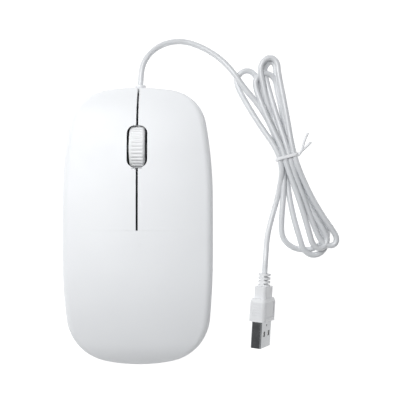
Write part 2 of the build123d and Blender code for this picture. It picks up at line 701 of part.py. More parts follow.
def make_plug_overmould():
    """Ribbed strain relief, stepped neck and ribbed grip, moulded in one round the shell."""
    relief_end, neck_end, shoulder_end, grip_end = 5.2, 10.0, 11.4, SHELL_START
    with BuildPart() as plug_overmould:
        with BuildSketch(plug_plane()):
            Circle(2.55)
        extrude(amount=relief_end)
        for rib in range(3):
            with BuildSketch(plug_plane(0.9 + 1.5 * rib)):
                Circle(3.0)
                Rectangle(6.0, 1.6, mode=Mode.SUBTRACT)
                Circle(1.35, mode=Mode.SUBTRACT)
            extrude(amount=0.6, mode=Mode.SUBTRACT)
        with BuildSketch(plug_plane(relief_end)):
            RectangleRounded(9.4, 5.4, 1.6)
        extrude(amount=neck_end - relief_end)
        with BuildSketch(plug_plane(shoulder_end)):
            RectangleRounded(13.6, 7.2, 1.9)
        extrude(amount=neck_end - shoulder_end, taper=25)
        with BuildSketch(plug_plane(shoulder_end)):
            RectangleRounded(13.6, 7.2, 1.9)
        extrude(amount=grip_end - shoulder_end)
        for face in (-1, 1):
            with BuildSketch(plug_plane(neck_end + 1.6)):
                with Locations((0, face * 3.6)):
                    Rectangle(8.6, 0.5)
            extrude(amount=6.2, mode=Mode.SUBTRACT)
            for rib in range(5):
                with BuildSketch(plug_plane(neck_end + 2.4 + rib * 1.1)):
                    with Locations((face * 6.8, 0)):
                        Rectangle(0.5, 3.6)
                extrude(amount=0.45, mode=Mode.SUBTRACT)
        with BuildSketch(plug_plane(grip_end)):
            RectangleRounded(*SHELL_SIZE, SHELL_CORNER)
        extrude(amount=-5.0, mode=Mode.SUBTRACT)
    save(plug_overmould.part, "plug_overmould")


def make_plug_shell():
    with BuildPart() as plug_shell:
        with BuildSketch(plug_plane(SHELL_START - 5.0)):
            RectangleRounded(*SHELL_SIZE, SHELL_CORNER)
            RectangleRounded(SHELL_SIZE[0] - 2 * SHELL_WALL, SHELL_SIZE[1] - 2 * SHELL_WALL,
                             SHELL_CORNER - SHELL_WALL, mode=Mode.SUBTRACT)
        extrude(amount=5.0 + SHELL_LENGTH)
        with BuildSketch(plug_plane(SHELL_START + SHELL_LENGTH - 6.6)):
            with Locations((-2.6, 0), (2.6, 0)):
                Rectangle(2.5, 8.0)
        extrude(amount=2.1, mode=Mode.SUBTRACT)
        middle = plug_plane(SHELL_START + 1.8)
        with BuildSketch(Plane(origin=middle.origin, x_dir=middle.x_dir, z_dir=middle.y_dir)):
            Circle(0.45)
        extrude(amount=SHELL_SIZE[1], both=True, mode=Mode.SUBTRACT)
    save(plug_shell.part, "plug_shell")


def make_plug_inside():
    """Tongue on one side of the shell's mouth, and the four contacts on it."""
    inner_half = SHELL_SIZE[1] / 2 - SHELL_WALL
    tongue_y = -inner_half + TONGUE_SIZE[1] / 2 + 0.02
    contact_y = tongue_y + TONGUE_SIZE[1] / 2
    with BuildPart() as plug_tongue:
        with BuildSketch(plug_plane(SHELL_START - 4.9)):
            RectangleRounded(TONGUE_SIZE[0], 2 * inner_half - 0.1, 0.6)
        extrude(amount=5.4)
        with BuildSketch(plug_plane(SHELL_START)):
            with Locations((0, tongue_y)):
                Rectangle(*TONGUE_SIZE)
        extrude(amount=SHELL_LENGTH - 0.6)
    save(plug_tongue.part, "plug_tongue")
    contacts = []
    for x, length in ((-3.5, 7.5), (-1.0, 6.5), (1.0, 6.5), (3.5, 7.5)):
        with BuildPart() as contact:
            with BuildSketch(plug_plane(SHELL_START + 1.2)):
                with Locations((x, contact_y + 0.06)):
                    Rectangle(1.0, 0.1)
            extrude(amount=length)
        contacts.append(contact.part)
    save(Compound(children=contacts), "plug_contacts")


make_top_cover()
make_key("left_button", -1)
make_key("right_button", 1)
make_bottom_case()
make_foot("front_foot", 48.0, 1.2)
make_foot("rear_foot", -47.5, -1.6)
make_blank_label()
make_screws()
make_cord_grommet()
make_wheel()
make_wheel_cradle()
make_cradle_spring()
make_circuit_board()
make_switches()
make_sensor_parts()
make_encoder()
make_board_components()
make_wiring()
make_cord_tube("cord_lead", LEAD_ROUTE)
make_cord_tube("cord_tail", TAIL_ROUTE)
make_cord_hank()
make_twist_tie()
make_plug_overmould()
make_plug_shell()
make_plug_inside()
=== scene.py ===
import json
from math import acos, asin, atan2, cos, pi, radians, sin, sqrt

import bpy
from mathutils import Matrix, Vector


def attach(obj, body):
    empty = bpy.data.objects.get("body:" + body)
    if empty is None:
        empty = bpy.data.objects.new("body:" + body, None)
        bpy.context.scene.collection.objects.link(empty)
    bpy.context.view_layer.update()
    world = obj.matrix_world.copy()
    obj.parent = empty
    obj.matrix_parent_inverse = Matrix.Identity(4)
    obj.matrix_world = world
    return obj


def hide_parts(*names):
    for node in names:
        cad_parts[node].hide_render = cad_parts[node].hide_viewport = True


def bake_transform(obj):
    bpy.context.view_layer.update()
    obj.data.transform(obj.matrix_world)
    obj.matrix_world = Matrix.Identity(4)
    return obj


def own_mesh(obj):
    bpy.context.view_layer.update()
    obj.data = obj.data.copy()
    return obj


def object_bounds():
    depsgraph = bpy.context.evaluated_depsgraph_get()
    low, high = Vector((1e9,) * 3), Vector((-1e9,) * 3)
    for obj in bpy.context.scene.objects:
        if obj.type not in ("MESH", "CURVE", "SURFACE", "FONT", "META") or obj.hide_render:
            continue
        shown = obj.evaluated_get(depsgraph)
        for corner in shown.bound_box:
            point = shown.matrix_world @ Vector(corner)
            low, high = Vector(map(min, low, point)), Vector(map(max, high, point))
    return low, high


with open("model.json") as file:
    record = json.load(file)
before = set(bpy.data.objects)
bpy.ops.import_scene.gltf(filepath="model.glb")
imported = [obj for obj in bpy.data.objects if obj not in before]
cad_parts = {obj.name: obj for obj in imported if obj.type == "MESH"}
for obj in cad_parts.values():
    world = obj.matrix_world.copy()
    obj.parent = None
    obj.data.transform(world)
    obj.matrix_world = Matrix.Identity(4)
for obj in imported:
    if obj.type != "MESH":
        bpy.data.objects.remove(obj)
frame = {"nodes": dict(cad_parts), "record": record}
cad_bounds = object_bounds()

# Looks of a wired mouse, in the frame of its CAD model: +Y is the mouse's front, +X its
# right-hand side and +Z up. Lengths below are in millimetres, and MM turns them into metres;
# only lights, textures and the cord's whole length are in metres.
MM = 0.001

# ---------------------------------------------------------------- camera, floor and light
CAMERA_PLACE = (24.8, 10.7, 320.0)
CAMERA_LENS = 68.24
SENSOR_WIDTH = 36.0
FLOOR_HALF = 0.8
FLOOR_DROP = 0.05
FLOOR_GREY = (0.3, 0.3, 0.3, 1.0)
FLOOR_ROUGH = 0.9
FLOOR_GLOW = 0.95
AIR_COLOUR = (0.97, 0.985, 1.0, 1.0)
AIR_STRENGTH = 0.17
# Each light: its place, the point it faces, the length of its sides and its power in watts
LIGHTS = {
    "key": ((-0.165, 0.178, 0.415), (0.01, 0.0, 0.01), 0.36, 2.3),
    "fill": ((0.36, -0.3, 0.5), (0.02, 0.0, 0.01), 0.5, 0.45),
}


def make_camera():
    """Camera straight above, looking down."""
    camera = bpy.data.cameras.new("camera")
    camera.lens = CAMERA_LENS
    camera.sensor_width = SENSOR_WIDTH
    camera.clip_start = 0.01
    holder = bpy.data.objects.new("camera", camera)
    holder.location = Vector(CAMERA_PLACE) * MM
    bpy.context.scene.collection.objects.link(holder)
    bpy.context.scene.camera = holder


def area_light(name, place, aim, side, watts):
    """Soft square light at a place, facing the point it aims at."""
    light = bpy.data.lights.new(name, "AREA")
    light.shape = "SQUARE"
    light.size = side
    light.energy = watts
    holder = bpy.data.objects.new(name, light)
    holder.location = place
    holder.rotation_euler = (Vector(aim) - Vector(place)).to_track_quat("-Z", "Y").to_euler()
    bpy.context.scene.collection.objects.link(holder)


def make_floor():
    """Plain pale floor, lit a little from within so that it stays near white."""
    mesh = bpy.data.meshes.new("floor")
    half = FLOOR_HALF
    low = cad_bounds[0][2] - FLOOR_DROP * MM
    corners = ((-half, -half), (half, -half), (half, half), (-half, half))
    mesh.from_pydata([(x, y, low) for x, y in corners], [], [(0, 1, 2, 3)])
    floor = bpy.data.objects.new("floor", mesh)
    bpy.context.scene.collection.objects.link(floor)
    material = bpy.data.materials.new("floor")
    material.use_nodes = True
    shader = material.node_tree.nodes["Principled BSDF"]
    shader.inputs["Base Color"].default_value = FLOOR_GREY
    shader.inputs["Roughness"].default_value = FLOOR_ROUGH
    shader.inputs["Emission Color"].default_value = (1.0, 1.0, 1.0, 1.0)
    shader.inputs["Emission Strength"].default_value = FLOOR_GLOW
    mesh.materials.append(material)


def make_light():
    """Even light from all round and two soft lights from above."""
    world = bpy.data.worlds.new("studio")
    world.use_nodes = True
    background = world.node_tree.nodes["Background"]
    background.inputs["Color"].default_value = AIR_COLOUR
    background.inputs["Strength"].default_value = AIR_STRENGTH
    bpy.context.scene.world = world
    bpy.context.scene.view_settings.view_transform = "Standard"
    for name, (place, aim, side, watts) in LIGHTS.items():
        area_light(name, place, aim, side, watts)


# ---------------------------------------------------------------- materials
# Range of a noise that is spread over the whole of a colour or roughness range
NOISE_LOW = 0.3
NOISE_HIGH = 0.7
# Features per metre: moulded tints and gloss, drawn metal's tints and gloss, its drawing lines
PLASTIC_CLOUDS = (60.0, 220.0)
METAL_CLOUDS = (250.0, 400.0)
DRAWN_LINES = (2500.0, 0.0000008)
TOOL_GRAIN = (9000.0, 0.00001)


def new_material(name, colour, rough, **sockets):
    """Principled material with constant values on the shader's own sockets."""
    material = bpy.data.materials.new(name)
    material.use_nodes = True
    shader = material.node_tree.nodes["Principled BSDF"]
    shader.inputs["Base Color"].default_value = (*colour, 1.0)
    shader.inputs["Roughness"].default_value = rough
    for socket, value in sockets.items():
        shader.inputs[socket.replace("_", " ")].default_value = value
    return material


def noise(tree, scale, detail=3.0, stretch=(1.0, 1.0, 1.0)):
    """Noise in object space, at so many features per metre."""
    coordinates = tree.nodes.new("ShaderNodeTexCoord")
    mapping = tree.nodes.new("ShaderNodeMapping")
    mapping.inputs["Scale"].default_value = stretch
    texture = tree.nodes.new("ShaderNodeTexNoise")
    texture.inputs["Scale"].default_value = scale
    texture.inputs["Detail"].default_value = detail
    tree.links.new(coordinates.outputs["Object"], mapping.inputs["Vector"])
    tree.links.new(mapping.outputs["Vector"], texture.inputs["Vector"])
    return texture


def add_grain(material, scale, height, stretch=(1.0, 1.0, 1.0)):
    """Fine bump of a moulded or drawn surface; height is in metres."""
    tree = material.node_tree
    grain = noise(tree, scale, 2.0, stretch)
    bump = tree.nodes.new("ShaderNodeBump")
    bump.inputs["Strength"].default_value = 0.6
    bump.inputs["Distance"].default_value = height
    tree.links.new(grain.outputs["Fac"], bump.inputs["Height"])
    tree.links.new(bump.outputs["Normal"], tree.nodes["Principled BSDF"].inputs["Normal"])


def add_rough_range(material, scale, low, high):
    """Roughness that wanders between two values, as handling and tooling leave it."""
    tree = material.node_tree
    clouds = noise(tree, scale)
    spread = tree.nodes.new("ShaderNodeMapRange")
    spread.inputs["From Min"].default_value = NOISE_LOW
    spread.inputs["From Max"].default_value = NOISE_HIGH
    spread.inputs["To Min"].default_value = low
    spread.inputs["To Max"].default_value = high
    tree.links.new(clouds.outputs["Fac"], spread.inputs["Value"])
    tree.links.new(spread.outputs["Result"], tree.nodes["Principled BSDF"].inputs["Roughness"])


def add_tint_range(material, scale, dark, light):
    """Base colour that wanders between two near shades."""
    tree = material.node_tree
    clouds = noise(tree, scale)
    ramp = tree.nodes.new("ShaderNodeValToRGB")
    ramp.color_ramp.elements[0].position = NOISE_LOW
    ramp.color_ramp.elements[0].color = (*dark, 1.0)
    ramp.color_ramp.elements[1].position = NOISE_HIGH
    ramp.color_ramp.elements[1].color = (*light, 1.0)
    tree.links.new(clouds.outputs["Fac"], ramp.inputs["Fac"])
    tree.links.new(ramp.outputs["Color"], tree.nodes["Principled BSDF"].inputs["Base Color"])


def moulded(name, dark, light, rough, grain=TOOL_GRAIN, **sockets):
    """Moulded plastic or rubber: near shades, uneven gloss and a fine tool grain."""
    material = new_material(name, light, rough, **sockets)
    add_tint_range(material, PLASTIC_CLOUDS[0], dark, light)
    add_rough_range(material, PLASTIC_CLOUDS[1], rough - 0.04, rough + 0.05)
    add_grain(material, *grain)
    return material


def metal(name, dark, light, rough, stretch):
    """Plated sheet metal with drawing lines along one way."""
    material = new_material(name, light, rough, Metallic=1.0)
    add_tint_range(material, METAL_CLOUDS[0], dark, light)
    add_rough_range(material, METAL_CLOUDS[1], rough - 0.03, rough + 0.05)
    add_grain(material, *DRAWN_LINES, stretch)
    return material


def clear_plastic(name):
    """Clear moulding with slightly uneven gloss."""
    material = new_material(name, (0.92, 0.94, 0.96), 0.06, Transmission_Weight=0.85, IOR=1.49)
    add_rough_range(material, PLASTIC_CLOUDS[1], 0.04, 0.1)
    add_grain(material, 4000.0, 0.000002)
    return material


def make_materials():
    """Each of the record's material slots, by name."""
    return {
        "white_shell": moulded("white_shell", (0.80, 0.815, 0.835), (0.815, 0.83, 0.85), 0.5,
                               (14000.0, 0.000002), Coat_Weight=0.12, Coat_Roughness=0.4),
        "white_base": moulded("white_base", (0.76, 0.775, 0.79), (0.79, 0.80, 0.82), 0.48),
        "glide": moulded("glide", (0.10, 0.10, 0.11), (0.13, 0.13, 0.14), 0.42),
        "label": moulded("label", (0.70, 0.71, 0.72), (0.76, 0.77, 0.78), 0.62),
        "steel": metal("steel", (0.50, 0.50, 0.51), (0.64, 0.64, 0.65), 0.30, (1.0, 1.0, 8.0)),
        "white_rubber": moulded("white_rubber", (0.78, 0.79, 0.81), (0.81, 0.82, 0.84), 0.52),
        "tyre_rubber": moulded("tyre_rubber", (0.77, 0.78, 0.79), (0.81, 0.82, 0.83), 0.58),
        "dark_plastic": moulded("dark_plastic", (0.02, 0.02, 0.022), (0.035, 0.035, 0.04), 0.45),
        "board": moulded("board", (0.012, 0.02, 0.014), (0.02, 0.032, 0.022), 0.35),
        "clear_lens": clear_plastic("clear_lens"),
        "red_led": moulded("red_led", (0.45, 0.03, 0.02), (0.6, 0.05, 0.04), 0.12,
                           Coat_Weight=0.5),
        "grey_plastic": moulded("grey_plastic", (0.42, 0.43, 0.45), (0.50, 0.51, 0.53), 0.48),
        "white_plastic": moulded("white_plastic", (0.74, 0.74, 0.73), (0.8, 0.8, 0.79), 0.45),
        "wire_coat": moulded("wire_coat", (0.16, 0.2, 0.2), (0.24, 0.29, 0.29), 0.45),
        "cord_white": moulded("cord_white", (0.62, 0.635, 0.655), (0.68, 0.695, 0.715), 0.34,
                              (5000.0, 0.00001), Coat_Weight=0.7, Coat_Roughness=0.25),
        "tie_white": moulded("tie_white", (0.76, 0.77, 0.79), (0.82, 0.83, 0.85), 0.5,
                             (6000.0, 0.00003)),
        "plug_white": moulded("plug_white", (0.72, 0.73, 0.745), (0.76, 0.77, 0.785), 0.42),
        "plug_steel": metal("plug_steel", (0.33, 0.34, 0.35), (0.39, 0.40, 0.41), 0.16,
                            (10.0, 1.0, 10.0)),
        "gold": metal("gold", (0.62, 0.42, 0.14), (0.78, 0.56, 0.22), 0.22, (8.0, 1.0, 8.0)),
    }


def dress_frame(materials):
    """Give every carried-over CAD node the material of its slot."""
    for part in frame["record"]["subparts"]:
        node = frame["nodes"][part["node"]]
        if not node.material_slots:
            node.data.materials.append(None)
        for slot in node.material_slots:
            slot.material = materials[part["material_slot"]]


# ---------------------------------------------------------------- cord
CORD_DIAMETER = 2.4
PLUG_HEIGHT = 7.1

# The cord's route from the case to the hank and from the hank to the plug, as in the CAD
LEAD_ROUTE = (
    (0.0, 49.6, 6.0), (0.0, 61.5, 6.0), (1.6, 69.2, 4.8), (7.6, 75.6, 2.6), (16.8, 77.9, 1.5),
    (26.0, 74.9, 1.5), (34.0, 69.6, 2.2), (39.3, 63.3, 3.4), (42.8, 58.0, 3.6),
)
TAIL_ROUTE = (
    (58.4, 18.0, 3.2), (57.2, 11.2, 1.8), (55.0, 3.6, 1.3), (52.8, -4.4, 3.2),
    (51.87, -12.6, PLUG_HEIGHT), (51.45, -19.6, PLUG_HEIGHT),
)

# The tie, and the place of each of the nine passes in it: across the bundle, and height
TIE_CENTRE = (60.9, 28.6)
TIE_TURN = radians(15.0)
PASS_SLOTS = (
    (-2.1, 3.4), (2.1, 3.4), (1.05, 5.3), (3.1, 5.6), (-1.05, 1.4), (1.05, 1.4),
    (-1.05, 5.6), (0.0, 3.4), (-3.1, 5.3),
)
# Sideways bow of each pass above and below the tie
PASS_BOWS = (
    (2.2, 0.3), (0.6, -1.6), (-0.4, -0.2), (0.2, -1.4), (-0.6, -1.2), (0.8, -0.8),
    (-0.6, 0.5), (0.6, -0.8), (-0.8, 0.0),
)
# Each fold: where the cord goes into it and comes out of it, its height at both, its reach
# beyond them, and how far its tip leans towards where it comes out
FOLDS = (
    ((58.7, 0.0), (79.4, -3.0), (2.6, 1.4), 9.2, -1.0),
    ((57.2, 60.8), (52.2, 61.6), (1.6, 1.6), 7.8, 0.0),
    ((73.6, -3.6), (80.6, -2.2), (3.8, 4.2), 6.0, 1.2),
    ((57.9, 61.4), (50.2, 62.8), (3.9, 3.9), 8.3, 0.0),
    ((66.4, -5.4), (78.0, -5.2), (3.6, 1.4), 7.4, 0.0),
    ((57.2, 57.0), (47.6, 58.4), (1.3, 3.6), 6.2, 0.0),
    ((69.6, -2.0), (77.2, -2.4), (5.6, 3.8), 7.6, 0.6),
    ((50.0, 57.4), (40.6, 58.0), (1.3, 1.3), 7.8, 0.0),
)
FOLD_POINTS = 6
PASS_POINTS = 2
# Share of a long fold's reach that runs on along its pass, and how far passes run straight
# on each side of the tie
STRAIGHT_SHARE = 0.6
STRAIGHT_AT_TIE = 4.0


def tie_point(across, height, forward=0.0):
    """Point near the tie, from its place across the bundle and along it towards the plug."""
    x = TIE_CENTRE[0] + across * cos(TIE_TURN) + forward * sin(TIE_TURN)
    y = TIE_CENTRE[1] + across * sin(TIE_TURN) - forward * cos(TIE_TURN)
    return Vector((x, y, height))


def fold_points(fold):
    """Points round the end of one turn of the hank."""
    (x0, y0), (x1, y1), (z0, z1), reach, lean = fold
    start = Vector((x0, y0, z0))
    end = Vector((x1, y1, z1))
    middle = (start + end) / 2
    half = (end - start) / 2
    away = Vector((middle.x - TIE_CENTRE[0], middle.y - TIE_CENTRE[1], 0)).normalized()
    outward = Vector((half.y, -half.x, 0)).normalized()
    if outward.dot(away) < 0:
        outward.negate()
    straight = STRAIGHT_SHARE * max(0.0, reach - half.length)
    tip = outward * (reach - straight) + half.normalized() * lean
    points = []
    for step in range(FOLD_POINTS):
        turn = pi * step / (FOLD_POINTS - 1)
        points.append(middle - half * cos(turn) + away * straight + tip * sin(turn))
    return points


def pass_points(start, end, bow):
    """Points between a fold and the tie, bowed sideways."""
    run = end - start
    aside = Vector((-run.y, run.x, 0)).normalized()
    if aside.x < 0:
        aside.negate()
    points = []
    for step in range(1, PASS_POINTS + 1):
        share = step / (PASS_POINTS + 1)
        points.append(start + run * share + aside * bow * sin(pi * share))
    return points


def hank_points():
    """The hank's passes and folds in order, from the lead to the tail."""
    last = len(PASS_SLOTS) - 1
    points = []
    above = Vector(LEAD_ROUTE[-1])
    for index, (across, height) in enumerate(PASS_SLOTS):
        down = index % 2 == 0
        bow_above, bow_below = PASS_BOWS[index]
        upper = tie_point(across, height, -STRAIGHT_AT_TIE)
        lower = tie_point(across, height, STRAIGHT_AT_TIE)
        if down:
            points += pass_points(above, upper, bow_above) + [upper, lower]
            if index == last:
                break
            below = fold_points(FOLDS[index])
            points += pass_points(lower, below[0], bow_below) + below
            start = below[-1]
        else:
            above_fold = fold_points(FOLDS[index])
            points += pass_points(start, lower, bow_below) + [lower, upper]
            points += pass_points(upper, above_fold[0], bow_above) + above_fold
            above = above_fold[-1]
    return points


def nurbs_curve(name, points, radius):
    """Smooth open NURBS curve through the region of its control points."""
    curve = bpy.data.curves.new(name, "CURVE")
    curve.dimensions = "3D"
    spline = curve.splines.new("NURBS")
    spline.points.add(len(points) - 1)
    for control, point in zip(spline.points, points):
        control.co = (*(Vector(point) * MM), 1.0)
    spline.order_u = 3
    spline.use_endpoint_u = True
    curve.bevel_depth = radius * MM
    curve.bevel_resolution = 6
    curve.resolution_u = 8
    curve.use_fill_caps = True
    holder = bpy.data.objects.new(name, curve)
    bpy.context.scene.collection.objects.link(holder)
    return holder


def make_cord(materials):
    """The whole cord as one curve, from inside the case to inside the plug."""
    points = list(LEAD_ROUTE) + hank_points() + list(TAIL_ROUTE)
    cord = nurbs_curve("cord", points, CORD_DIAMETER / 2)
    cord.data.materials.append(materials["cord_white"])
    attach(cord, "root")
    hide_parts("cord_lead", "cord_hank", "cord_tail")


# ---------------------------------------------------------------- case skin
# The case's driving sizes, as in the CAD. Each end of the outline has a side arc's radius,
# the corner's place across, and the corner's radius.
HALF_LENGTH = 56.5
HALF_WIDTH = 30.0
FLANK_HALF = 10.0
FRONT_END = (180.0, 24.9, 17.0)
REAR_END = (330.0, 27.6, 20.0)
CROWN_RADIUS = 170.0
CROWN_TOP = 23.4
CROWN_Y = 1.5
FRONT_ARCS = ((400.0, 30.0), (75.0, 13.0), (22.0, 13.0))
REAR_ARCS = ((400.0, 16.5), (120.0, 32.0), (20.0, 10.5))
EDGE_RADIUS = 3.5
EDGE_STEPS = 8
WALL_STEPS = 4
SEAT_ROUNDS = 8
FLAT_RADIUS = 100000.0
SKIN_THICK = 1.8
THINNEST_SKIN = 0.5
SKIN_STEP = 0.1
WHEEL_CENTRE = (31.4, 14.8)
WHEEL_RADIUS = 9.45
WHEEL_HALF = 3.15
WHEEL_GAP = 0.8
KEY_REAR_Y = -1.3
KEY_BOTTOM = 10.4
COVER_BOTTOM = 9.5
SLIT_HALF = 0.425
SLOT_HALF = 4.075
SLOT_REAR_Y = 23.4
SLOT_FRONT_Y = 40.25
SLOT_CORNER = 3.3
# Steps of the mesh: the slit behind the slot, the slot's half end, corner and side, the slit
# before it, the front end, the flank behind the keys and the rear end
REAR_SLIT_STEPS = 22
SLOT_END_STEPS = 2
SLOT_CORNER_STEPS = 12
SLOT_SIDE_STEPS = 10
FRONT_SLIT_STEPS = 14
FRONT_END_STEPS = 40
REAR_FLANK_STEPS = 48
REAR_END_STEPS = 30
# Share of a key's rows placed by their distance lengthwise; the rest goes by length of edge
ROWS_BY_LENGTH = 0.8


def crown_profile(y):
    """Height of the crown above its axis, and the sine of its slope, at a place lengthwise."""
    arcs = FRONT_ARCS if y >= CROWN_Y else REAR_ARCS
    left = abs(y - CROWN_Y)
    height = CROWN_RADIUS
    slope = 0.0
    for radius, length in arcs:
        step = min(left, length)
        steeper = slope + step / radius
        height -= radius * (sqrt(1 - slope ** 2) - sqrt(1 - steeper ** 2))
        slope = steeper
        left -= step
    return height, slope if y >= CROWN_Y else -slope


def crown(x, y):
    """Point and outward normal of the crowned top over a place in plan."""
    height, slope = crown_profile(y)
    aside = asin(x / height)
    level = sqrt(1 - slope ** 2)
    point = Vector((x, y, CROWN_TOP - CROWN_RADIUS + height * cos(aside)))
    return point, Vector((level * sin(aside), slope, level * cos(aside)))


def end_arcs(side_radius, corner_x, corner_radius):
    """Side, corner and end arc of the outline's +X +Y quarter: centre, radius, two angles."""
    side = Vector((HALF_WIDTH - side_radius, FLANK_HALF))
    corner_y = FLANK_HALF + sqrt(side_radius ** 2 - (corner_x - side.x) ** 2)
    rise = HALF_LENGTH - corner_y
    end_radius = (corner_x ** 2 + rise ** 2) / (2 * rise)
    end = Vector((0.0, HALF_LENGTH - end_radius))
    reach, other = side_radius - corner_radius, end_radius - corner_radius
    apart = (end - side).length
    along = (reach ** 2 - other ** 2 + apart ** 2) / (2 * apart)
    unit = (end - side) / apart
    off = sqrt(reach ** 2 - along ** 2)
    corner = side + unit * along + Vector((-unit.y, unit.x)) * off
    if corner.y < 0:
        corner = side + unit * along - Vector((-unit.y, unit.x)) * off
    first = atan2(corner.y - side.y, corner.x - side.x)
    second = atan2(corner.y - end.y, corner.x - end.x)
    return (
        (side, side_radius, 0.0, first),
        (corner, corner_radius, first, second),
        (end, end_radius, second, pi / 2),
    )


def rim_points(arcs, shares):
    """Outline points with their outward directions, at shares of the length of some arcs."""
    lengths = [radius * abs(last - first) for _, radius, first, last in arcs]
    rim = []
    for share in shares:
        goal = share * sum(lengths)
        piece = 0
        while piece < len(arcs) - 1 and goal > lengths[piece]:
            goal -= lengths[piece]
            piece += 1
        centre, radius, first, last = arcs[piece]
        turn = first + (last - first) * goal / lengths[piece]
        outward = Vector((cos(turn), sin(turn)))
        rim.append((centre + outward * radius, outward))
    return rim


def side_rim(start_y, end, shares):
    """Outline up the right-hand side, from start_y to the middle of the corner."""
    side, (centre, radius, first, second), _ = end_arcs(*end)
    flank_centre = Vector((HALF_WIDTH - FLAT_RADIUS, FLANK_HALF))
    flank = (flank_centre, FLAT_RADIUS, (start_y - FLANK_HALF) / FLAT_RADIUS, 0.0)
    return rim_points((flank, side, (centre, radius, first, (first + second) / 2)), shares)


def end_rim(end, stop_x, steps):
    """Outline from the middle of the corner round to stop_x on the end arc."""
    _, (centre, radius, first, second), (end_centre, end_radius, start, _) = end_arcs(*end)
    stop = acos(stop_x / end_radius)
    arcs = ((centre, radius, (first + second) / 2, second),
            (end_centre, end_radius, start, stop))
    return rim_points(arcs, [step / steps for step in range(steps + 1)])


def turned(rim, flip):
    """Rim mirrored by a flip of (x, y)."""
    return [(place * Vector(flip), outward * Vector(flip)) for place, outward in rim]


def edge_seats(rim):
    """Centre of the edge rounding, the crown's normal and the outward way, along a rim."""
    seats = []
    for place, outward in rim:
        centre = place - outward * EDGE_RADIUS
        seat = centre
        for _ in range(SEAT_ROUNDS):
            _, normal = crown(seat.x, seat.y)
            seat = centre + normal.xy * EDGE_RADIUS
        point, normal = crown(seat.x, seat.y)
        seats.append((point - normal * EDGE_RADIUS, normal, outward.to_3d()))
    return seats


def seat_plan(seats):
    """Where the edge rounding meets the crown, in plan."""
    return [(centre + normal * EDGE_RADIUS).xy for centre, normal, _ in seats]


def shares_of(points):
    """Share of a polyline's length at each of its points."""
    reach = [0.0]
    for before, after in zip(points, points[1:]):
        reach.append(reach[-1] + (after - before).length)
    return [value / reach[-1] for value in reach]


def patch(near, far, first, last, rows):
    """Plan points blended between four sides: near and far run along, first and last across."""
    across = shares_of(last)
    grid = []
    for i, along in enumerate(rows):
        grid.append([])
        for j, side in enumerate(across):
            ruled = near[i] * (1 - side) + far[i] * side
            ruled += first[j] * (1 - along) + last[j] * along
            low = near[0] * (1 - side) + far[0] * side
            high = near[-1] * (1 - side) + far[-1] * side
            grid[-1].append(ruled - low * (1 - along) - high * along)
    return grid


def add_quads(faces, rows):
    """Quads between rows of point numbers."""
    for row, following in zip(rows, rows[1:]):
        for j in range(len(row) - 1):
            faces.append((row[j], row[j + 1], following[j + 1], following[j]))


def crowned_sheet(grid, chain, seats, bottom):
    """Points, normals and quads of a patch of the top with its rounded edge and its wall.

    chain has the row and column of the patch's points along the edge, one for each seat.
    """
    points, normals, faces, numbers = [], [], [], []
    for row in grid:
        numbers.append([])
        for place in row:
            point, normal = crown(place.x, place.y)
            numbers[-1].append(len(points))
            points.append(point)
            normals.append(normal)
    add_quads(faces, numbers)
    rows = [[numbers[i][j] for i, j in chain]]
    for step in range(1, EDGE_STEPS + 1):
        rows.append([])
        for centre, normal, outward in seats:
            way = normal.slerp(outward, step / EDGE_STEPS)
            rows[-1].append(len(points))
            points.append(centre + way * EDGE_RADIUS)
            normals.append(way)
    for step in range(1, WALL_STEPS + 1):
        rows.append([])
        for centre, _, outward in seats:
            foot = centre + outward * EDGE_RADIUS
            foot.z += (bottom - foot.z) * step / WALL_STEPS
            rows[-1].append(len(points))
            points.append(foot)
            normals.append(outward)
    add_quads(faces, rows)
    return points, normals, faces


def skin_depth(point, normal):
    """Thickness of the skin below a point, less where its inside would meet the tyre."""
    depth = SKIN_THICK
    beside = abs(point.x) < WHEEL_HALF + WHEEL_GAP
    while beside and depth > THINNEST_SKIN:
        inner = point - normal * depth
        if (inner.yz - Vector(WHEEL_CENTRE)).length > WHEEL_RADIUS + WHEEL_GAP:
            break
        depth -= SKIN_STEP
    return depth


def thick_piece(name, sheet, mirrored, material):
    """Mesh of a sheet given the wall's thickness, with the surface's true normals."""
    points, normals, faces = sheet
    flip = Vector((-1.0 if mirrored else 1.0, 1.0, 1.0))
    points = [point * flip for point in points]
    normals = [normal * flip for normal in normals]
    count = len(points)
    everything = points + [p - n * skin_depth(p, n) for p, n in zip(points, normals)]
    outside = []
    for face in faces:
        a, b, c, d = (points[number] for number in face)
        inwards = (c - a).cross(d - b).dot(normals[face[0]]) < 0
        outside.append(face[::-1] if inwards else face)
    borders = set()
    for face in outside:
        borders.update(zip(face, face[1:] + face[:1]))
    loops, shown = [], []
    for face in outside:
        shown += [face, tuple(number + count for number in reversed(face))]
        loops += [normals[number] for number in face]
        loops += [-normals[number] for number in reversed(face)]
        for a, b in zip(face, face[1:] + face[:1]):
            if (b, a) not in borders:
                wall = (b, a, a + count, b + count)
                p, q, r, s = (everything[number] for number in wall)
                shown.append(wall)
                loops += [(r - p).cross(s - q).normalized()] * 4
    piece = mesh_piece(name, everything, shown, material)
    piece.data.normals_split_custom_set(loops)
    return piece


def mesh_piece(name, points, faces, material):
    """Smooth-shaded mesh object from points in millimetres."""
    mesh = bpy.data.meshes.new(name)
    mesh.from_pydata([Vector(point) * MM for point in points], [], faces)
    for polygon in mesh.polygons:
        polygon.use_smooth = True
    mesh.materials.append(material)
    piece = bpy.data.objects.new(name, mesh)
    bpy.context.scene.collection.objects.link(piece)
    return piece


def arc_plan(centre, radius, first, second, steps):
    """Plan points along an arc, its start left out."""
    points = []
    for step in range(1, steps + 1):
        turn = first + (second - first) * step / steps
        points.append(Vector((centre[0] + radius * cos(turn), centre[1] + radius * sin(turn))))
    return points


